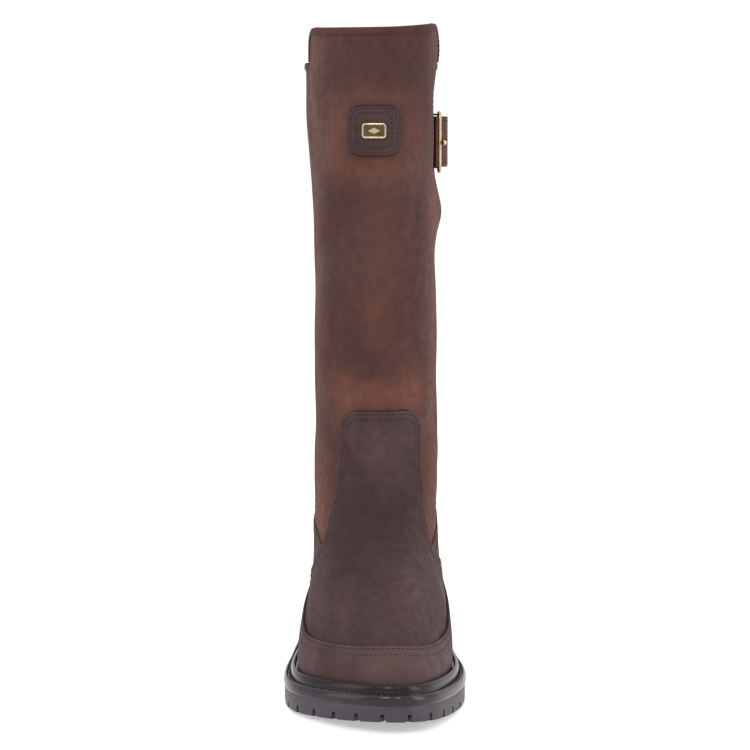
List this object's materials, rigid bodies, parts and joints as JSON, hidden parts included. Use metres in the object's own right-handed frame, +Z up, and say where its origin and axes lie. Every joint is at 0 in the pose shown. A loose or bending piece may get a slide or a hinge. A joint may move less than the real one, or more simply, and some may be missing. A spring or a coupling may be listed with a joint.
{
  "type": "riding boot",
  "caption": "Tall pull-on leather riding boot with a rounded toe, welted lug sole, square shin badge and a buckled strap at the top of the calf.",
  "frame": {"origin": "centre of the bounding box on the floor plane, under the middle of the boot", "axes": "+Z up the shaft, toe towards -Y, heel towards +Y, buckle on the +X side"},
  "size_m": [0.1105, 0.284, 0.4074],
  "materials": {
    "red_leather": "waxed pull-up brown leather, satin",
    "dark_leather": "oiled dark brown leather, satin",
    "binding_leather": "folded edge binding, satin",
    "lining_leather": "natural lining leather, matt",
    "board": "fibre board and cork, matt",
    "rubber": "moulded rubber, semi-gloss",
    "brass": "brushed antique brass",
    "steel": "spring steel",
    "elastic": "ribbed woven elastic"
  },
  "bodies": {
    "boot": {"outsole": "rubber", "welt": "rubber", "filler": "board", "shank": "steel", "insole_board": "board", "footbed": "lining_leather", "foot_lining": "lining_leather", "shaft_lining": "lining_leather", "toe_puff": "board", "heel_stiffener": "board", "vamp_backer": "board", "front_shaft_panel": "red_leather", "back_panel_inner": "red_leather", "back_panel_outer": "red_leather", "gusset": "elastic", "vamp": "dark_leather", "heel_foxing": "dark_leather", "mudguard": "red_leather", "backstay": "dark_leather", "front_binding": "binding_leather", "back_binding": "binding_leather", "badge_patch": "dark_leather", "badge_plate": "brass", "strap": "red_leather", "strap_keeper": "red_leather", "buckle_tab": "red_leather"},
    "buckle": {"buckle_frame": "brass"},
    "prong": {"buckle_prong": "brass"}
  },
  "joints": [
    {"name": "buckle_hinge", "type": "hinge", "parent": "boot", "child": "buckle", "pos_m": [0.04103, 0.084, 0.334], "axis": [0, 0, 1], "range_deg": [0, 5]},
    {"name": "prong_hinge", "type": "hinge", "parent": "buckle", "child": "prong", "pos_m": [0.04103, 0.084, 0.334], "axis": [0, 0, 1], "range_deg": [0, 5]}
  ]
}
